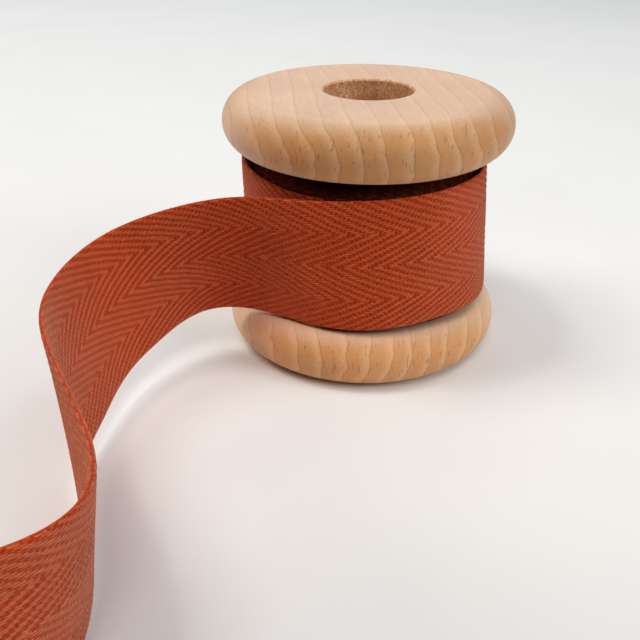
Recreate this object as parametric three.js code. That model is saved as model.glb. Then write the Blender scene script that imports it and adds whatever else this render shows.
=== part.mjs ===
// Roll of cotton herringbone tape on a turned beech spool, its free end standing on edge in an S.
// Millimetres, +Z up. Every piece is worked out about the spool's axis, with the spool's foot at zero.
import * as THREE from 'three';

// Spool
const spoolDiameter = 54;
const spoolHeight = 49;
const flangeThickness = 10.3;
const boreDiameter = 16.5;
const barrelDiameter = 25;
const spoolSides = 64;
const rimSteps = 6;

// Tape
const tapeWidth = 25;
const tapeThickness = 1;

// Left between the barrel and the roll wound on it
const seatGap = 0.32;

// Wound roll: its last layer ends in a step, where the outer turn begins.
// It sits a little lower on the side away from the azimuth that it is tilted towards.
const roll = {
  innerRadius: barrelDiameter / 2 + seatGap,
  middle: 23.9,
  tilt: 0.6,
  tiltTowards: 60,
  sides: 72,
  turned: 359,
};

// Outside of the wound roll by azimuth: its radius half way up and its lean outwards in degrees
const rollRows = [
  { azimuth: -110, radius: 21.4, lean: 0 },
  { azimuth: -180, radius: 21.5, lean: 0 },
  { azimuth: -270, radius: 21.9, lean: -2 },
  { azimuth: -350, radius: 22, lean: -4.5 },
  { azimuth: -370, radius: 22.1, lean: -4.8 },
  { azimuth: -395, radius: 22.8, lean: -3 },
  { azimuth: -420, radius: 22.8, lean: 1 },
  { azimuth: -445, radius: 22.5, lean: 1.5 },
  { azimuth: -470, radius: 22.1, lean: 2 },
];

// Outer turn, clockwise seen from above, from under the free end round to the front again.
// Azimuth in degrees, radius and height of the tape's middle line, lean outwards in degrees.
const turnStart = -112;
const turnStep = 4;
const turnRows = [
  { azimuth: -110, radius: 22.3, middle: 23.4, lean: 0 },
  { azimuth: -125, radius: 22.4, middle: 23.5, lean: 0 },
  { azimuth: -145, radius: 22.7, middle: 24, lean: 1 },
  { azimuth: -180, radius: 23.1, middle: 24.8, lean: 1 },
  { azimuth: -270, radius: 23.2, middle: 25.2, lean: -2 },
  { azimuth: -350, radius: 23.1, middle: 25.2, lean: -4.5 },
  { azimuth: -370, radius: 23.1, middle: 25.2, lean: -4.8 },
  { azimuth: -395, radius: 24.1, middle: 25.2, lean: -3 },
  { azimuth: -420, radius: 23.9, middle: 24.8, lean: 1.9 },
];

// Free end, by millimetres along the tape from the last row above.
// It follows the roll, leaves it, and takes one soft bend for each row of the first table,
// in degrees, positive to the left.
const leavesRollAt = 29.1;
const leavingSpread = 2;
const freeLength = 144;
const freeStep = 2;
const fineSteps = 4;
const bends = [
  { along: 41.6, spread: 12.9, turn: 84.8 },
  { along: 64.4, spread: 12.1, turn: 49.9 },
  { along: 87, spread: 7, turn: 24.1 },
  { along: 123.7, spread: 11.2, turn: -96.7 },
];
const freeRows = [
  { along: 0, middle: 24.8, lean: 1.9 },
  { along: 15, middle: 23.8, lean: 2.5 },
  { along: 30, middle: 23.1, lean: 9.1 },
  { along: 45, middle: 21.8, lean: 14.5 },
  { along: 60, middle: 18.4, lean: -4.6 },
  { along: 75, middle: 15.8, lean: -12.1 },
  { along: 90, middle: 14.5, lean: -2.5 },
  { along: 105, middle: 13.5, lean: 3.5 },
  { along: 120, middle: 12.6, lean: 9.4 },
  { along: 135, middle: 12.8, lean: -4.8 },
  { along: 150, middle: 12.7, lean: 0 },
];

const radians = THREE.MathUtils.degToRad;

// Smooth value of one column of a table at a place between its rows
function valueAt(rows, key, column, at) {
  const falling = rows[0][key] > rows[1][key];
  let i = 0;
  while (i < rows.length - 2 && (falling ? at < rows[i + 1][key] : at > rows[i + 1][key])) {
    i += 1;
  }
  const slope = (a, b) => (rows[b][column] - rows[a][column]) / (rows[b][key] - rows[a][key]);
  const tangent = (k) => {
    if (k === 0) return slope(0, 1);
    if (k === rows.length - 1) return slope(k - 1, k);
    const before = rows[k][key] - rows[k - 1][key];
    const after = rows[k + 1][key] - rows[k][key];
    return (slope(k - 1, k) * after + slope(k, k + 1) * before) / (before + after);
  };
  const span = rows[i + 1][key] - rows[i][key];
  const u = (at - rows[i][key]) / span;
  return rows[i][column] * (1 + 2 * u) * (1 - u) ** 2
    + tangent(i) * span * u * (1 - u) ** 2
    + rows[i + 1][column] * u * u * (3 - 2 * u)
    + tangent(i + 1) * span * u * u * (u - 1);
}

// Closed solid through a row of equal loops of points, either a ring or with two flat ends
function loft(loops, ring) {
  const corners = loops[0].length;
  const at = (i, j) => (i % loops.length) * corners + (j % corners);
  const faces = [];
  const spans = ring ? loops.length : loops.length - 1;
  for (let i = 0; i < spans; i += 1) {
    for (let j = 0; j < corners; j += 1) {
      faces.push(at(i, j), at(i + 1, j), at(i + 1, j + 1));
      faces.push(at(i, j), at(i + 1, j + 1), at(i, j + 1));
    }
  }
  if (!ring) {
    const last = loops.length - 1;
    for (let j = 1; j < corners - 1; j += 1) {
      faces.push(at(0, 0), at(0, j), at(0, j + 1));
      faces.push(at(last, 0), at(last, j + 1), at(last, j));
    }
  }
  const geometry = new THREE.BufferGeometry();
  geometry.setFromPoints(loops.flat());
  geometry.setIndex(faces);
  geometry.computeVertexNormals();
  return geometry;
}

// Spool: two flanges with half-round rims, the barrel between them and a bore right through
function spoolGeometry() {
  const rim = flangeThickness / 2;
  const rimCentre = spoolDiameter / 2 - rim;
  const outline = new THREE.Path();
  outline.moveTo(boreDiameter / 2, 0);
  outline.lineTo(rimCentre, 0);
  outline.absarc(rimCentre, rim, rim, -Math.PI / 2, Math.PI / 2, false);
  outline.lineTo(barrelDiameter / 2, flangeThickness);
  outline.lineTo(barrelDiameter / 2, spoolHeight - flangeThickness);
  outline.lineTo(rimCentre, spoolHeight - flangeThickness);
  outline.absarc(rimCentre, spoolHeight - rim, rim, -Math.PI / 2, Math.PI / 2, false);
  outline.lineTo(boreDiameter / 2, spoolHeight);
  outline.lineTo(boreDiameter / 2, 0);
  const geometry = new THREE.LatheGeometry(outline.getPoints(rimSteps), spoolSides);
  geometry.rotateX(Math.PI / 2);
  return geometry;
}

// Wound roll: a ring whose outside is one turn of a spiral, a little lower at the front left
function woundGeometry() {
  const loops = [];
  for (let i = 0; i < roll.sides; i += 1) {
    const azimuth = rollRows[0].azimuth - (roll.turned * i) / (roll.sides - 1);
    const outer = valueAt(rollRows, 'azimuth', 'radius', azimuth);
    const lean = radians(valueAt(rollRows, 'azimuth', 'lean', azimuth));
    const middle = roll.middle + roll.tilt * Math.cos(radians(azimuth - roll.tiltTowards));
    const corner = (radius, side) => new THREE.Vector3(
      radius * Math.cos(radians(azimuth)),
      radius * Math.sin(radians(azimuth)),
      middle + (side * tapeWidth) / 2,
    );
    const spread = (Math.tan(lean) * tapeWidth) / 2;
    loops.push([
      corner(roll.innerRadius, -1),
      corner(roll.innerRadius, 1),
      corner(outer + spread, 1),
      corner(outer - spread, -1),
    ]);
  }
  return loft(loops, true);
}

// How sharply the free end turns at a place along it, in radians for each millimetre
function turning(along) {
  const last = turnRows[turnRows.length - 1];
  const held = 1 / (1 + Math.exp((along - leavesRollAt) / leavingSpread));
  let total = -held / last.radius;
  for (const bend of bends) {
    const u = (along - bend.along) / bend.spread;
    total += radians(bend.turn) / (2 * bend.spread * Math.cosh(u) ** 2);
  }
  return total;
}

// Heading of the tape at the end of the outer turn, in radians
function headingOffTurn() {
  const a = turnRows[turnRows.length - 2];
  const b = turnRows[turnRows.length - 1];
  const growth = (b.radius - a.radius) / radians(b.azimuth - a.azimuth);
  return radians(b.azimuth - 90) - Math.atan(growth / b.radius);
}

// Middle line of the outer turn and the free end, and how far its top leans to the left
function tapeStations() {
  const stations = [];
  const last = turnRows[turnRows.length - 1];
  for (let azimuth = turnStart; azimuth > last.azimuth; azimuth -= turnStep) {
    const read = (column) => valueAt(turnRows, 'azimuth', column, azimuth);
    const angle = radians(azimuth);
    const x = read('radius') * Math.cos(angle);
    const y = read('radius') * Math.sin(angle);
    stations.push({ point: new THREE.Vector3(x, y, read('middle')), lean: radians(read('lean')) });
  }
  let heading = headingOffTurn();
  let x = last.radius * Math.cos(radians(last.azimuth));
  let y = last.radius * Math.sin(radians(last.azimuth));
  const fine = freeStep / fineSteps;
  for (let along = 0; along <= freeLength; along += freeStep) {
    const read = (column) => valueAt(freeRows, 'along', column, along);
    stations.push({ point: new THREE.Vector3(x, y, read('middle')), lean: radians(read('lean')) });
    for (let k = 0; k < fineSteps; k += 1) {
      const turn = turning(along + (k + 0.5) * fine) * fine;
      x += Math.cos(heading + turn / 2) * fine;
      y += Math.sin(heading + turn / 2) * fine;
      heading += turn;
    }
  }
  return stations;
}

// Outer turn and free end: one sheet of tape on edge, its cross line square to its run
function looseGeometry() {
  const stations = tapeStations();
  const up = new THREE.Vector3(0, 0, 1);
  const loops = stations.map((station, i) => {
    const before = stations[Math.max(i - 1, 0)].point;
    const after = stations[Math.min(i + 1, stations.length - 1)].point;
    const run = after.clone().sub(before).normalize();
    const left = up.clone().cross(run).normalize();
    const upright = run.clone().cross(left);
    const across = upright.multiplyScalar(Math.cos(station.lean));
    across.addScaledVector(left, Math.sin(station.lean));
    const out = across.clone().cross(run).normalize();
    const corner = (side, face) => station.point.clone()
      .addScaledVector(across, (side * tapeWidth) / 2)
      .addScaledVector(out, (face * tapeThickness) / 2);
    return [corner(-1, -1), corner(1, -1), corner(1, 1), corner(-1, 1)];
  });
  return loft(loops, false);
}

// Bare beech and rust-red cotton
const beech = new THREE.MeshStandardMaterial({ color: 0xd9b48f, roughness: 0.6, metalness: 0 });
const cotton = new THREE.MeshStandardMaterial({ color: 0xa5482f, roughness: 0.9, metalness: 0 });

function piece(name, geometry, material) {
  const mesh = new THREE.Mesh(geometry, material);
  mesh.name = name;
  return mesh;
}

// The whole roll, moved so that the origin is on the surface under the middle of its box
const standing = new THREE.Group();
standing.add(piece('spool', spoolGeometry(), beech));
standing.add(piece('wound_tape', woundGeometry(), cotton));
standing.add(piece('loose_tape', looseGeometry(), cotton));
const box = new THREE.Box3().setFromObject(standing);
const middle = box.getCenter(new THREE.Vector3());
standing.position.set(-middle.x, -middle.y, -box.min.z);

const group = new THREE.Group();
group.add(standing);
export default group;
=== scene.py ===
import math

import bpy
import numpy as np
from mathutils import Matrix, Vector


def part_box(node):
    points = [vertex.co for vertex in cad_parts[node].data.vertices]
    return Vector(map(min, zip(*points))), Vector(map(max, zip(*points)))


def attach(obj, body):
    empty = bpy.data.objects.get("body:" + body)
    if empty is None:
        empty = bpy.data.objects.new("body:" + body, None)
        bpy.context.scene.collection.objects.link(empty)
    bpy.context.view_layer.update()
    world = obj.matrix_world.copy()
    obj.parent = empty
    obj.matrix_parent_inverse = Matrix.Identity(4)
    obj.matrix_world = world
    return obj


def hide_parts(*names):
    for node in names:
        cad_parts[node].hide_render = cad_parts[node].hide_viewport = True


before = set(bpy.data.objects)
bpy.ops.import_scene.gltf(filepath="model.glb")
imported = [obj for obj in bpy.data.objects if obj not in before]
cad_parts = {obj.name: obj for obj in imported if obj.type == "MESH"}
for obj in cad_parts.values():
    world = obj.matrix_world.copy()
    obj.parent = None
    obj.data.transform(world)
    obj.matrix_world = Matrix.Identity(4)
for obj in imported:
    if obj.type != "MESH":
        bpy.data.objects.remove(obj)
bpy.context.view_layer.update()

# Sizes are in millimetres about the spool's axis, with the spool's foot at zero, as in the part's source
MM = 0.001
SPOOL_LOW, SPOOL_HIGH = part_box("spool")
AXIS = (SPOOL_LOW + SPOOL_HIGH) / 2 / MM
AXIS.z = 0
SPOOL_RADIUS = (SPOOL_HIGH.x - SPOOL_LOW.x) / 2 / MM
SPOOL_HEIGHT = SPOOL_HIGH.z / MM

# Camera: its place from the spool's foot, how far it looks down and its small roll
CAMERA_PLACE = Vector((-8.6, -146.5, 82.53))
CAMERA_DOWN = math.radians(29.27)
CAMERA_ROLL = 0.0070
CAMERA_LENS = 44.29
CAMERA_SENSOR = 36
CAMERA_SEES_FROM = 0.005

# Spool
FLANGE = 10.3
BORE_RADIUS = 8.25
BARREL_RADIUS = 12.5
BORE_CHAMFER = 0.35
BORE_ROUGHNESS = 0.05
BORE_RINGS = 60
FACE_RINGS = (BORE_RADIUS + BORE_CHAMFER, BORE_RADIUS + 2, 15)
SPOOL_SIDES = 224
RIM_STEPS = 24

# Growth rings of the beech: how far they are turned from the camera's line, their pitch and centre
RING_TURN = math.radians(7)
RING_PITCH = 4.0
RING_CENTRE = (-140, 20)
RING_WANDER = 5.0

# Tape, a two-by-two twill: the warp runs along it and the weft across, and the rib turns back three times
TAPE_WIDTH = 25
TAPE_THICKNESS = 0.9
TAPE_STEP = 0.57
TAPE_COLUMNS = 93
WARP_PITCH = 0.3125
PICK_PITCH = 0.664
FLOAT_REPEAT = 4
TURNS_BACK_AT = 12.7
TURNS_BACK_BESIDE = 6.4
BREAK_IN_MIDDLE = -0.28
WEAVE_START = 0.78
WEAVE_WANDER = 1.1
RIB_HEIGHT = 0.11
RIBS_START = 0.3
RIBS_RISE_OVER = 0.6

# Selvedge: radius of its beads and how many points go round them and along each one
BEAD_RADIUS = 0.28
BEAD_SIDES = 6
BEAD_STEPS = 6

# Wound roll, as in the part's source: azimuth and lean in degrees, radius half way up
ROLL_MIDDLE, ROLL_TILT, ROLL_TILT_TOWARDS = 23.9, 0.6, 60
ROLL_ROWS = {
    "azimuth": (-110, -180, -270, -350, -370, -395, -420, -445, -470),
    "radius": (21.4, 21.5, 21.9, 22, 22.1, 22.8, 22.8, 22.5, 22.1),
    "lean": (0, 0, -2, -4.5, -4.8, -3, 1, 1.5, 2),
}

# Its turns: one strip wound inwards, with a place for every few degrees, and painted darker than the
# outside: painted shade for the deep shade under the upper flange
TURN_PITCH = 0.7
TURN_THICKNESS = 0.54
TURN_COUNT = 13
TURN_DEGREES = 2.5
TURNS_PAINTED_SHADE_STRENGTH = 0.26

# Outer turn and free end, as in the part's source, but a little lower where the outer turn starts
OUTER_START = -111.6
OUTER_ROWS = {
    "azimuth": (-110, -125, -145, -180, -270, -350, -370, -395, -420),
    "radius": (22.3, 22.4, 22.7, 23.1, 23.2, 23.1, 23.1, 24.1, 23.9),
    "middle": (22.95, 23.05, 23.7, 24.8, 25.2, 25.2, 25.2, 25.2, 24.8),
    "lean": (0, 0, 1, 1, -2, -4.5, -4.8, -3, 1.9),
}
LEAVES_ROLL_AT = 29.1
LEAVING_SPREAD = 2
FREE_LENGTH = 144
BENDS = ((41.6, 12.9, 84.8), (64.4, 12.1, 49.9), (87, 7, 24.1), (123.7, 11.2, -96.7))
FREE_ROWS = {
    "along": (0, 15, 30, 45, 60, 75, 90, 105, 120, 135, 150),
    "middle": (24.8, 23.8, 23.1, 21.8, 18.4, 15.8, 14.5, 13.5, 12.6, 12.8, 12.7),
    "lean": (1.9, 2.5, 9.1, 14.5, -4.6, -12.1, -2.5, 3.5, 9.4, -4.8, 0),
}

# Uneven lines: how many octaves of noise are added up
OCTAVES = 3

# Half the table's side in metres, and where painted shade darkens it towards the camera
TABLE_HALF = 3.0
TABLE_DARK_FROM, TABLE_DARK_TO, TABLE_DARK = -50.0, -100.0, 0.84

# Light: soft boxes round the spool, by azimuth and height in degrees, edge length, power and colour
LIGHT_DISTANCE = 1.2
LIGHTS = {
    "back": (90, 32, 0.6, 2.1, (0.92, 1.0, 1.1)),
    "back_left": (135, 32, 0.6, 1.9, (0.95, 1.0, 1.06)),
    "low_left": (178, 27, 0.25, 2.0, (1.15, 0.98, 0.82)),
    "right_front": (335, 30, 0.6, 5.4, (0.98, 1.0, 1.02)),
    "right_high": (0, 62, 0.5, 2.7, (0.93, 1.0, 1.03)),
    "left_high": (180, 62, 0.5, 4.6, (0.98, 1.0, 0.98)),
    "lamp": (186, 71, 0.11, 0.9, (1.05, 1.0, 0.92)),
    "front_high": (270, 62, 0.5, 3.4, (1.1, 0.98, 0.88)),
    "top": (180, 88, 0.6, 1.2, (1.0, 1.0, 1.0)),
}

COLOURS = {
    # Cotton: painted shade down between the yarns, the dyed cotton, and a painted highlight on the crests
    "cotton_painted_shade": (0.33, 0.019, 0.002),
    "cotton": (0.46, 0.046, 0.008),
    "cotton_painted_highlight": (0.69, 0.142, 0.053),
    "cotton_fuzz": (1.0, 0.6, 0.42),
    "beech_face": (0.645, 0.425, 0.285),
    "beech_end": (0.54, 0.262, 0.10),
    "beech_flame": (0.60, 0.26, 0.09),
    "beech_light": (0.75, 0.49, 0.30),
    "beech_ring": (0.34, 0.17, 0.085),
    "beech_pore": (0.27, 0.105, 0.035),
    "bore_dark": (0.46, 0.21, 0.085),
    "bore_light": (0.92, 0.58, 0.35),
    "bore_patch": (0.62, 0.28, 0.11),
    "table_low": (0.79, 0.785, 0.775),
    "table_high": (0.845, 0.845, 0.84),
}


# Numbers along lines and tables
def value_at(rows, key, column, at):
    """Smooth values of one column of a table at places between its rows."""
    sign = 1 if rows[key][1] > rows[key][0] else -1
    x = sign * np.array(rows[key], float)
    y = np.array(rows[column], float)
    at = sign * np.asarray(at, float)
    span = np.diff(x)
    slope = np.diff(y) / span
    inner = (slope[:-1] * span[1:] + slope[1:] * span[:-1]) / (span[1:] + span[:-1])
    tangent = np.concatenate([slope[:1], inner, slope[-1:]])
    i = np.clip(np.searchsorted(x, at) - 1, 0, len(x) - 2)
    u = (at - x[i]) / span[i]
    rising = y[i] * (1 + 2 * u) * (1 - u) ** 2 + tangent[i] * span[i] * u * (1 - u) ** 2
    return rising + y[i + 1] * u * u * (3 - 2 * u) + tangent[i + 1] * span[i] * u * u * (u - 1)


def noise_line(at, length, seed):
    """Smooth uneven numbers along a line, between about -1 and 1."""
    rng = np.random.default_rng(seed)
    total = np.zeros_like(at, dtype=float)
    for octave in range(OCTAVES):
        spacing = length / 2 ** octave
        knots = rng.uniform(-1, 1, int(np.ptp(at) / spacing) + 4)
        place = (at - at.min()) / spacing
        i = place.astype(int)
        u = place - i
        u = u * u * (3 - 2 * u)
        total += (knots[i] * (1 - u) + knots[i + 1] * u) / 2 ** octave
    return total / (2 - 2 ** (1 - OCTAVES))


def distance_along(line):
    return np.concatenate([[0], np.cumsum(np.linalg.norm(np.diff(line, axis=0), axis=1))])


def round_a_circle(count):
    return np.linspace(0, 2 * math.pi, count, endpoint=False)


# Meshes and pieces
def grid_quads(rows, columns, closed_rows, closed_columns):
    i = np.arange(rows if closed_rows else rows - 1)[:, None]
    j = np.arange(columns if closed_columns else columns - 1)[None, :]
    i_next = (i + 1) % rows
    j_next = (j + 1) % columns
    corners = ((i, j), (i_next, j), (i_next, j_next), (i, j_next))
    return np.stack([row * columns + column for row, column in corners], -1).reshape(-1, 4)


def cap_quads(rows, columns):
    k = np.arange(columns // 2 - 1)
    first = np.stack([k, k + 1, columns - 2 - k, columns - 1 - k], -1)
    last = (rows - 1) * columns + first[:, ::-1]
    return np.concatenate([first, last])


def grid_mesh(name, points, closed_rows, closed_columns, weave=None, capped=False):
    """A mesh from a grid of points in millimetres about the spool's axis, with a map of the weave."""
    rows, columns = points.shape[:2]
    quads = grid_quads(rows, columns, closed_rows, closed_columns)
    if capped:
        quads = np.concatenate([quads, cap_quads(rows, columns)])
    mesh = bpy.data.meshes.new(name)
    flat = (points + np.array(AXIS)).reshape(-1, 3) * MM
    mesh.vertices.add(len(flat))
    mesh.vertices.foreach_set("co", flat.astype(np.float32).ravel())
    mesh.loops.add(quads.size)
    mesh.loops.foreach_set("vertex_index", quads.ravel().astype(np.int32))
    mesh.polygons.add(len(quads))
    mesh.polygons.foreach_set("loop_start", np.arange(0, quads.size, 4, dtype=np.int32))
    mesh.polygons.foreach_set("use_smooth", np.ones(len(quads), bool))
    mesh.update(calc_edges=True)
    if weave is not None:
        layer = mesh.uv_layers.new(name="weave")
        layer.uv.foreach_set("vector", weave.reshape(-1, 2)[quads.ravel()].astype(np.float32).ravel())
    mesh.validate()
    return mesh


def add_piece(name, mesh, material):
    piece = bpy.data.objects.new(name, mesh)
    bpy.context.scene.collection.objects.link(piece)
    mesh.materials.append(material)
    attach(piece, "root")
    return piece


# Camera
def make_camera():
    back = Vector((0, -math.cos(CAMERA_DOWN), math.sin(CAMERA_DOWN)))
    right = Vector((1, 0, 0))
    up = back.cross(right)
    turned_right = math.cos(CAMERA_ROLL) * right + math.sin(CAMERA_ROLL) * up
    turned_up = math.cos(CAMERA_ROLL) * up - math.sin(CAMERA_ROLL) * right
    data = bpy.data.cameras.new("camera")
    data.lens = CAMERA_LENS
    data.sensor_width = CAMERA_SENSOR
    data.clip_start = CAMERA_SEES_FROM
    camera = bpy.data.objects.new("camera", data)
    turn = Matrix((turned_right, turned_up, back)).transposed().to_4x4()
    camera.matrix_world = Matrix.Translation((AXIS + CAMERA_PLACE) * MM) @ turn
    bpy.context.scene.collection.objects.link(camera)
    bpy.context.scene.camera = camera


# Nodes of a material, by short names
class Nodes:
    def __init__(self, name):
        self.material = bpy.data.materials.new(name)
        self.material.use_nodes = True
        self.tree = self.material.node_tree
        self.shader = self.tree.nodes["Principled BSDF"]

    def add(self, kind, **settings):
        node = self.tree.nodes.new(kind)
        for key, value in settings.items():
            setattr(node, key, value)
        return node

    def put(self, value, socket):
        if hasattr(value, "links"):
            self.tree.links.new(value, socket)
        else:
            socket.default_value = value

    def math(self, operation, a, b=0.0, c=0.0):
        node = self.add("ShaderNodeMath", operation=operation)
        for value, socket in zip((a, b, c), node.inputs):
            self.put(value, socket)
        return node.outputs[0]

    def times(self, a, b):
        return self.math("MULTIPLY", a, b)

    def line(self, value, factor, start):
        """A straight line: the value times a factor, plus a start."""
        return self.math("MULTIPLY_ADD", value, factor, start)

    def smooth(self, value, low, high, to_low=0.0, to_high=1.0):
        node = self.add("ShaderNodeMapRange", interpolation_type="SMOOTHSTEP")
        for given, key in ((value, "Value"), (low, "From Min"), (high, "From Max"),
                           (to_low, "To Min"), (to_high, "To Max")):
            self.put(given, node.inputs[key])
        return node.outputs[0]

    def noise(self, vector, scale, detail=2.0, roughness=0.5, distortion=0.0):
        node = self.add("ShaderNodeTexNoise")
        self.put(vector, node.inputs["Vector"])
        node.inputs["Scale"].default_value = scale
        node.inputs["Detail"].default_value = detail
        node.inputs["Roughness"].default_value = roughness
        node.inputs["Distortion"].default_value = distortion
        return node.outputs["Fac"]

    def mix(self, factor, a, b, kind="MIX"):
        node = self.add("ShaderNodeMix", data_type="RGBA", blend_type=kind)
        self.put(factor, node.inputs["Factor"])
        self.put(a, node.inputs["A"])
        self.put(b, node.inputs["B"])
        return node.outputs["Result"]

    def blend(self, factor, colour, name):
        """From a colour to one of the named colours."""
        return self.mix(factor, colour, rgb(name))

    def shade(self, colour, tone):
        return self.mix(1.0, colour, self.combine(tone, tone, tone), "MULTIPLY")

    def combine(self, x, y, z):
        node = self.add("ShaderNodeCombineXYZ")
        for value, socket in zip((x, y, z), node.inputs):
            self.put(value, socket)
        return node.outputs[0]

    def bump(self, height, distance, strength):
        node = self.add("ShaderNodeBump")
        self.put(height, node.inputs["Height"])
        node.inputs["Distance"].default_value = distance
        node.inputs["Strength"].default_value = strength
        self.tree.links.new(node.outputs["Normal"], self.shader.inputs["Normal"])

    def place(self):
        """Place on the object in millimetres from the spool's foot, whole and as three numbers."""
        coordinates = self.add("ShaderNodeTexCoord").outputs["Object"]
        shift = self.add("ShaderNodeVectorMath", operation="MULTIPLY_ADD")
        self.put(coordinates, shift.inputs[0])
        shift.inputs[1].default_value = (1 / MM,) * 3
        shift.inputs[2].default_value = -AXIS
        split = self.add("ShaderNodeSeparateXYZ")
        self.put(shift.outputs[0], split.inputs[0])
        return shift.outputs[0], split.outputs

    def surface(self, colour, roughness, specular=0.5):
        self.put(colour, self.shader.inputs["Base Color"])
        self.shader.inputs["Roughness"].default_value = roughness
        self.shader.inputs["Specular IOR Level"].default_value = specular


def rgb(name):
    return (*COLOURS[name], 1.0)


# Cotton: each yarn of the twill in the tape's own coordinates, along and across it in millimetres
def rib_nodes(n, along, across):
    """Place in the repeat of the ribs: whole numbers on the crest of each rib."""
    from_middle = n.math("SUBTRACT", across, TURNS_BACK_AT)
    zigzag = n.math("ABSOLUTE", n.math("SUBTRACT", n.math("ABSOLUTE", from_middle), TURNS_BACK_BESIDE))
    shift = n.line(n.math("GREATER_THAN", from_middle, 0.0), BREAK_IN_MIDDLE, WEAVE_START)
    risen = n.line(zigzag, -1 / (FLOAT_REPEAT * WARP_PITCH), shift)
    return n.line(along, 1 / (FLOAT_REPEAT * PICK_PITCH), risen)


def rise_nodes(n, along, across):
    """One on the crest of a rib, minus one between two ribs."""
    return n.math("COSINE", n.times(rib_nodes(n, along, across), 2 * math.pi))


def middle_of_yarn(n, place, pitch):
    """Number of the yarn at a place, the place of its middle, and how round it is there."""
    yarn = n.math("DIVIDE", place, pitch)
    number = n.math("FLOOR", yarn)
    middle = n.times(n.math("ADD", number, 0.5), pitch)
    bulge = n.math("SINE", n.times(n.math("FRACT", yarn), math.pi))
    return number, middle, bulge


def cotton_height(n, along, across, warp_middle, warp_bulge):
    """Warp floats on the ribs, weft floats between them, and fibres over both."""
    _, pick_middle, pick_bulge = middle_of_yarn(n, along, PICK_PITCH)
    warp_rise = rise_nodes(n, along, warp_middle)
    weft_rise = rise_nodes(n, pick_middle, across)
    warp = n.times(n.smooth(warp_rise, -0.8, 0.5), n.line(warp_bulge, 0.9, 0.15))
    weft = n.times(n.smooth(weft_rise, -0.1, -1.0), n.times(pick_bulge, 0.5))
    yarns = n.math("MAXIMUM", warp, weft)
    fibres = n.noise(n.combine(along, n.times(across, 1.8), 0.0), 2.0, 4.0, 0.7)
    return n.math("ADD", yarns, n.smooth(fibres, 0.3, 0.7, -0.1, 0.5))


def cotton_material(name, strength):
    n = Nodes(name)
    weave = n.add("ShaderNodeUVMap", uv_map="weave").outputs["UV"]
    split = n.add("ShaderNodeSeparateXYZ")
    n.put(weave, split.inputs[0])
    along = n.line(n.noise(weave, 0.5, 3.0), WEAVE_WANDER, split.outputs[0])
    across = split.outputs[1]
    warp_number, warp_middle, warp_bulge = middle_of_yarn(n, across, WARP_PITCH)
    height = cotton_height(n, along, across, warp_middle, warp_bulge)
    uneven = n.noise(n.combine(n.times(along, 0.5), n.times(warp_number, 3.7), 0.0), 1.0, 1.0)
    patches = n.noise(weave, 0.12, 3.0)
    # Painted shade darkens the cotton where it lies low between the yarns, and a painted highlight lightens
    # the crests of the floats
    colour = n.blend(n.smooth(height, 0.0, 0.55), rgb("cotton_painted_shade"), "cotton")
    colour = n.blend(n.smooth(height, 0.5, 1.3), colour, "cotton_painted_highlight")
    tone = n.line(patches, 0.3, n.line(uneven, 0.5, 0.66))
    # With a strength below one, the colour and the sheen are painted darker: painted shade for the wound
    # turns deep under the upper flange
    n.surface(n.shade(colour, n.times(tone, strength)), 0.95, 0.05)
    n.shader.inputs["Sheen Weight"].default_value = 0.8 * strength
    n.shader.inputs["Sheen Roughness"].default_value = 0.25
    n.shader.inputs["Sheen Tint"].default_value = rgb("cotton_fuzz")
    n.bump(height, 0.00016, 0.9)
    return n.material


# Beech: growth rings run across the spool from front to back, end grain shows on its front and back rims
def ring_nodes(n, side, length, z):
    """The dark line at the end of each ring and the lighter wood before it."""
    wander = n.noise(n.combine(n.times(side, 0.6), n.times(length, 0.15), z), 0.12, 2.0)
    from_x = n.math("SUBTRACT", side, RING_CENTRE[0])
    from_z = n.math("SUBTRACT", z, RING_CENTRE[1])
    squares = n.math("ADD", n.math("POWER", from_x, 2.0), n.math("POWER", from_z, 2.0))
    depth = n.line(wander, RING_WANDER, n.math("SQRT", squares))
    part = n.math("FRACT", n.math("DIVIDE", depth, RING_PITCH))
    line = n.times(n.smooth(part, 0.90, 0.97), n.smooth(part, 0.97, 1.0, 1.0, 0.0))
    light = n.times(n.smooth(part, 0.4, 0.88), n.smooth(part, 0.88, 0.95, 1.0, 0.0))
    return line, light


def end_grain_nodes(n):
    """One where the surface faces along the grain, none where it faces across it."""
    turned = n.add("ShaderNodeVectorMath", operation="DOT_PRODUCT")
    n.put(n.add("ShaderNodeNewGeometry").outputs["Normal"], turned.inputs[0])
    turned.inputs[1].default_value = (-math.sin(RING_TURN), math.cos(RING_TURN), 0)
    return n.smooth(n.math("ABSOLUTE", turned.outputs["Value"]), 0.2, 0.8)


def pore_nodes(n, side, length, z, end_grain):
    """Short dark marks, which bend with the rim of each flange."""
    in_flange = n.math("SUBTRACT", n.math("MODULO", z, SPOOL_HEIGHT - FLANGE), FLANGE / 2)
    bent = n.line(n.math("POWER", in_flange, 2.0), -0.05, side)
    place = n.combine(n.times(bent, 2.4), n.times(length, 0.3), n.times(z, 0.6))
    pores = n.noise(place, 1.0, 2.0, 0.55, 0.5)
    return n.times(n.smooth(pores, 0.60, 0.70), n.line(end_grain, 0.5, 0.05))


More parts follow.
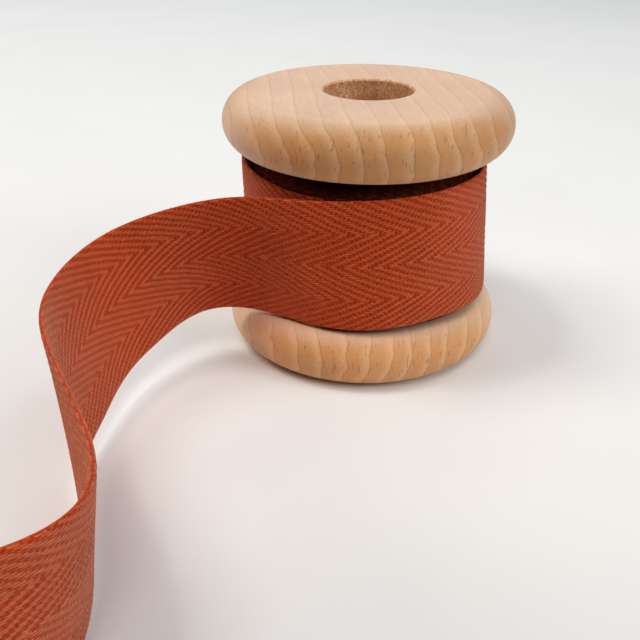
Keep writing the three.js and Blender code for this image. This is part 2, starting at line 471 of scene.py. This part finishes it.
def beech_material():
    n = Nodes("beech")
    place, (x, y, z) = n.place()
    side = n.line(y, math.sin(RING_TURN), n.times(x, math.cos(RING_TURN)))
    length = n.line(y, math.cos(RING_TURN), n.times(x, -math.sin(RING_TURN)))
    line, light = ring_nodes(n, side, length, z)
    end_grain = end_grain_nodes(n)
    pore = pore_nodes(n, side, length, z, end_grain)
    fine = n.noise(n.combine(n.times(side, 3.0), n.times(length, 0.25), n.times(z, 3.0)), 1.2, 4.0, 0.6)
    broad = n.noise(place, 0.06, 2.0)
    flame = n.times(n.smooth(n.noise(place, 0.16, 2.0), 0.48, 0.62), end_grain)
    colour = n.blend(end_grain, rgb("beech_face"), "beech_end")
    colour = n.blend(n.times(flame, 0.45), colour, "beech_flame")
    colour = n.blend(n.times(light, 0.35), colour, "beech_light")
    colour = n.blend(n.times(line, n.line(end_grain, 0.22, 0.2)), colour, "beech_ring")
    colour = n.blend(pore, colour, "beech_pore")
    tone = n.line(fine, 0.35, n.line(broad, 0.35, 0.66))
    # Painted light: the lower flange is painted brighter than the upper one, because it is more brightly
    # lit
    tone = n.times(tone, n.smooth(z, FLANGE, SPOOL_HEIGHT - FLANGE, 1.18, 1.0))
    n.surface(n.shade(colour, tone), 0.5, 0.3)
    n.bump(n.math("SUBTRACT", fine, n.line(pore, 1.5, n.times(line, 0.6))), 0.00006, 0.6)
    return n.material


def bore_material():
    n = Nodes("beech_bore")
    place, _ = n.place()
    crumbs = n.noise(place, 2.2, 4.0, 0.7)
    broad = n.noise(place, 0.35, 2.0)
    colour = n.blend(n.smooth(crumbs, 0.3, 0.7), rgb("bore_dark"), "bore_light")
    colour = n.blend(n.smooth(broad, 0.45, 0.7), colour, "bore_patch")
    n.surface(colour, 0.85)
    n.bump(crumbs, 0.0003, 0.8)
    return n.material


# Spool, turned on a lathe: a closed outline swept round, with its bore's wall left rough
def spool_outline():
    rim = FLANGE / 2
    rim_centre = SPOOL_RADIUS - rim
    turns = np.linspace(-math.pi / 2, math.pi / 2, RIM_STEPS + 1)
    foot = [(radius, 0) for radius in FACE_RINGS]
    low = [(rim_centre + rim * math.cos(a), rim + rim * math.sin(a)) for a in turns]
    barrel = [(BARREL_RADIUS, FLANGE), (BARREL_RADIUS, SPOOL_HEIGHT - FLANGE)]
    high = [(r, z + SPOOL_HEIGHT - FLANGE) for r, z in low]
    top = [(radius, SPOOL_HEIGHT) for radius in reversed(FACE_RINGS)]
    wall = [(BORE_RADIUS, z) for z in np.linspace(SPOOL_HEIGHT - BORE_CHAMFER, BORE_CHAMFER, BORE_RINGS)]
    return np.array(foot + low + barrel + high + top + wall)


def make_spool(beech, bore):
    outline = spool_outline()
    angles = round_a_circle(SPOOL_SIDES)
    radius = np.repeat(outline[None, :, 0], SPOOL_SIDES, 0)
    height = np.repeat(outline[None, :, 1], SPOOL_SIDES, 0)
    rng = np.random.default_rng(11)
    rough = rng.normal(0, BORE_ROUGHNESS, (SPOOL_SIDES, BORE_RINGS - 2))
    radius[:, -BORE_RINGS + 1:-1] += np.abs(rough)
    points = np.stack([radius * np.cos(angles)[:, None], radius * np.sin(angles)[:, None], height], -1)
    mesh = grid_mesh("spool_turned", points, True, True)
    spool = add_piece("spool_turned", mesh, beech)
    mesh.materials.append(bore)
    columns = len(outline)
    for face in mesh.polygons:
        in_bore = face.vertices[0] % columns >= columns - BORE_RINGS - 1
        face.material_index = 1 if in_bore else 0
        widest = max(outline[v % columns, 0] for v in face.vertices)
        face.use_smooth = abs(face.normal.z) <= 0.999 and widest > BORE_RADIUS
    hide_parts("spool")


# Ribs of the weave: height between 0 and 1 at places along and across the tape
def rib_height(along, across):
    from_middle = across - TURNS_BACK_AT
    zigzag = np.abs(np.abs(from_middle) - TURNS_BACK_BESIDE)
    shift = WEAVE_START + BREAK_IN_MIDDLE * (from_middle > 0)
    repeats = along / (FLOAT_REPEAT * PICK_PITCH) - zigzag / (FLOAT_REPEAT * WARP_PITCH) + shift
    return 0.5 + 0.5 * np.cos(2 * math.pi * repeats)


def directions(middle, lean):
    """Cross line and outward direction of a tape whose middle line and lean are given."""
    run = np.gradient(middle, axis=0)
    run /= np.linalg.norm(run, axis=1, keepdims=True)
    left = np.cross([0, 0, 1], run)
    left /= np.linalg.norm(left, axis=1, keepdims=True)
    upright = np.cross(run, left)
    across = upright * np.cos(lean)[:, None] + left * np.sin(lean)[:, None]
    return across, np.cross(across, run)


# Middle line and lean of the outer turn and the free end
def outer_turn():
    turned = OUTER_START - OUTER_ROWS["azimuth"][-1]
    count = int(math.radians(turned) * OUTER_ROWS["radius"][0] / TAPE_STEP)
    azimuth = np.linspace(OUTER_START, OUTER_ROWS["azimuth"][-1], count)
    radius, height, lean = (value_at(OUTER_ROWS, "azimuth", column, azimuth)
                            for column in ("radius", "middle", "lean"))
    angle = np.radians(azimuth)
    return np.stack([radius * np.cos(angle), radius * np.sin(angle), height], 1), lean


def free_end(start):
    """The free end from where the outer turn ends, one soft bend after another."""
    azimuth, radius = (OUTER_ROWS[column][-2:] for column in ("azimuth", "radius"))
    growth = (radius[1] - radius[0]) / math.radians(azimuth[1] - azimuth[0])
    heading = math.radians(azimuth[1] - 90) - math.atan(growth / radius[1])
    steps = round(FREE_LENGTH / TAPE_STEP)
    step = FREE_LENGTH / steps
    along = step * (np.arange(steps) + 0.5)
    turning = -1 / (1 + np.exp((along - LEAVES_ROLL_AT) / LEAVING_SPREAD)) / radius[1]
    for place, spread, degrees in BENDS:
        turning = turning + math.radians(degrees) / (2 * spread * np.cosh((along - place) / spread) ** 2)
    after = heading + np.cumsum(turning) * step
    halfway = after - turning * step / 2
    x = start[0] + np.cumsum(np.cos(halfway)) * step
    y = start[1] + np.cumsum(np.sin(halfway)) * step
    ends = step * np.arange(1, steps + 1)
    height = value_at(FREE_ROWS, "along", "middle", ends)
    return np.stack([x, y, height], 1), value_at(FREE_ROWS, "along", "lean", ends)


def loose_line():
    turn, turn_lean = outer_turn()
    free, free_lean = free_end(turn[-1])
    return np.concatenate([turn, free]), np.radians(np.concatenate([turn_lean, free_lean]))


# Places across the tape, closer together at its two edges
def across_places():
    edge = np.array([0, 0.07, 0.22, 0.45])
    inner = np.linspace(edge[-1], TAPE_WIDTH - edge[-1], TAPE_COLUMNS)
    return np.concatenate([edge[:-1], inner, TAPE_WIDTH - edge[:-1][::-1]])


def tape_mesh(name, middle, lean):
    """A closed sheet with ribs on both faces and rounded edges."""
    across, out = directions(middle, lean)
    v = across_places()
    from_edge = np.minimum(v, TAPE_WIDTH - v)
    half = TAPE_THICKNESS / 2 - RIB_HEIGHT
    rounding = np.sqrt(np.clip(1 - (1 - np.clip(from_edge / half, 0, 1)) ** 2, 0.02, 1))
    ribbed = np.clip((from_edge - RIBS_START) / RIBS_RISE_OVER, 0, 1)
    u = distance_along(middle)[:, None]
    ribs = rib_height(u, v[None, :])
    front = half * rounding + RIB_HEIGHT * ribs * ribbed
    behind = half * rounding + RIB_HEIGHT * (1 - ribs) * ribbed
    line = middle[:, None, :] + across[:, None, :] * (v - TAPE_WIDTH / 2)[None, :, None]
    face = line + out[:, None, :] * front[:, :, None]
    back = line - out[:, None, :] * behind[:, :, None]
    points = np.concatenate([face, back[:, ::-1]], axis=1)
    behind_shift = np.repeat((0, FLOAT_REPEAT * PICK_PITCH / 2), len(v))
    weave = np.stack(np.broadcast_arrays(u + behind_shift, np.concatenate([v, v[::-1]])[None, :]), -1)
    return grid_mesh(name, points, False, True, weave, capped=True)


# Edges of the tape: a bead where the weft turns back after every second pick
def selvedge_mesh(name, middle, lean, side):
    gone = distance_along(middle)
    bead_length = 2 * PICK_PITCH
    along = np.arange(0.1, gone[-1] - 0.1, bead_length / BEAD_STEPS)
    line = np.stack([np.interp(along, gone, middle[:, k]) for k in range(3)], 1)
    across, out = directions(line, np.interp(along, gone, lean))
    between_beads = np.abs(np.cos(along * math.pi / bead_length)) ** 3
    swell = 1.1 - 0.35 * between_beads + 0.08 * noise_line(along, 2.0, 5 + side)
    centre = line + across * side * (TAPE_WIDTH / 2 - BEAD_RADIUS)
    turn = round_a_circle(BEAD_SIDES)
    ring = np.cos(turn)[None, :, None] * out[:, None, :] + np.sin(turn)[None, :, None] * across[:, None, :]
    points = centre[:, None, :] + ring * (BEAD_RADIUS * swell)[:, None, None]
    weave = np.stack(np.broadcast_arrays(along[:, None], 0.5 + 0.4 * np.sin(turn)[None, :]), -1)
    return grid_mesh(name, points, False, True, weave, capped=True)


def make_loose_tape(cotton):
    middle, lean = loose_line()
    cloth = add_piece("loose_tape_cloth", tape_mesh("loose_tape_cloth", middle, lean), cotton)
    edges = [
        add_piece(name, selvedge_mesh(name, middle, lean, side), cotton)
        for name, side in (("loose_tape_edge_low", -1), ("loose_tape_edge_high", 1))
    ]
    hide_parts("loose_tape")


# Wound turns: one strip wound inwards from the outside of the roll, each turn a little uneven
def wound_line():
    """Middle line and lean of the strip, from its outer end inwards."""
    first, last = ROLL_ROWS["azimuth"][0], ROLL_ROWS["azimuth"][-1]
    travelled = np.arange(0, 360 * TURN_COUNT, TURN_DEGREES)
    turn = travelled // 360
    azimuth = last + travelled % 360
    lean = value_at(ROLL_ROWS, "azimuth", "lean", azimuth)
    inner_lean = lean - ROLL_ROWS["lean"][-1] * (azimuth - first) / (last - first)
    lean = np.where(turn == 0, lean, inner_lean * np.exp(-turn / 5))
    radius = value_at(ROLL_ROWS, "azimuth", "radius", azimuth) - TURN_THICKNESS / 2 - turn * TURN_PITCH
    radius = radius + 0.03 * noise_line(travelled, 40, 21)
    angle = np.radians(azimuth)
    middle = ROLL_MIDDLE + ROLL_TILT * np.cos(angle - math.radians(ROLL_TILT_TOWARDS)) * np.exp(-turn / 9)
    middle = middle + 0.16 * noise_line(travelled, 170, 33)
    line = np.stack([radius * np.cos(angle), radius * np.sin(angle), middle], 1)
    return line, -np.radians(lean)


def strip_section():
    """Section of the strip: its rounded upper edge, and the same turned about for the lower one."""
    half = TURN_THICKNESS / 2
    top = TAPE_WIDTH / 2
    upper = np.array([(-half, top - half), (-half * 0.7, top - half * 0.3), (0, top),
                      (half * 0.7, top - half * 0.3), (half, top - half)])
    return np.roll(np.concatenate([upper, -upper]), 1, axis=0)


def strip_mesh(name, middle, lean):
    """A plain strip with rounded edges, for turns of which only the edges show."""
    across, out = directions(middle, lean)
    section = strip_section()
    points = middle[:, None, :] + out[:, None, :] * section[None, :, 0, None] \
        + across[:, None, :] * section[None, :, 1, None]
    along = distance_along(middle)[:, None]
    weave = np.stack(np.broadcast_arrays(along, section[None, :, 1] + TAPE_WIDTH / 2), -1)
    return grid_mesh(name, points, False, True, weave, capped=True)


def make_wound_tape(cotton):
    middle, lean = wound_line()
    turns = add_piece("wound_turns", strip_mesh("wound_turns", middle, lean), cotton)
    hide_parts("wound_tape")


# Table: plain, pale and matt, with painted shade towards the camera
def table_material():
    n = Nodes("table")
    place, (_, y, _) = n.place()
    mottle = n.noise(place, 0.02, 3.0)
    colour = n.blend(mottle, rgb("table_low"), "table_high")
    # Painted shade: the table is painted darker towards the camera, where shade falls from near the camera
    tone = n.smooth(y, TABLE_DARK_TO, TABLE_DARK_FROM, TABLE_DARK, 1.0)
    n.surface(n.shade(colour, tone), 0.8, 0.2)
    n.bump(n.noise(place, 0.8, 3.0), 0.0001, 0.25)
    return n.material


def make_table():
    half = TABLE_HALF
    corners = [(-half, -half, 0), (half, -half, 0), (half, half, 0), (-half, half, 0)]
    mesh = bpy.data.meshes.new("table")
    mesh.from_pydata(corners, [], [(0, 1, 2, 3)])
    mesh.materials.append(table_material())
    table = bpy.data.objects.new("table", mesh)
    bpy.context.scene.collection.objects.link(table)


def make_lights():
    for name, (azimuth, height, size, power, colour) in LIGHTS.items():
        data = bpy.data.lights.new(name, "AREA")
        data.size = size
        data.energy = power
        data.color = colour
        turn, rise = math.radians(azimuth), math.radians(height)
        towards = Vector((math.cos(turn) * math.cos(rise), math.sin(turn) * math.cos(rise), math.sin(rise)))
        light = bpy.data.objects.new(name, data)
        light.location = towards * LIGHT_DISTANCE
        light.rotation_euler = towards.to_track_quat("Z", "Y").to_euler()
        bpy.context.scene.collection.objects.link(light)


make_camera()
bpy.context.scene.view_settings.view_transform = "Standard"
make_spool(beech_material(), bore_material())
# The wound turns get painted shade: their cotton is painted darker than the outer tape
make_wound_tape(cotton_material("cotton_edges_painted_shade", TURNS_PAINTED_SHADE_STRENGTH))
make_loose_tape(cotton_material("cotton_tape", 1.0))
make_table()
make_lights()

bpy.context.view_layer.update()
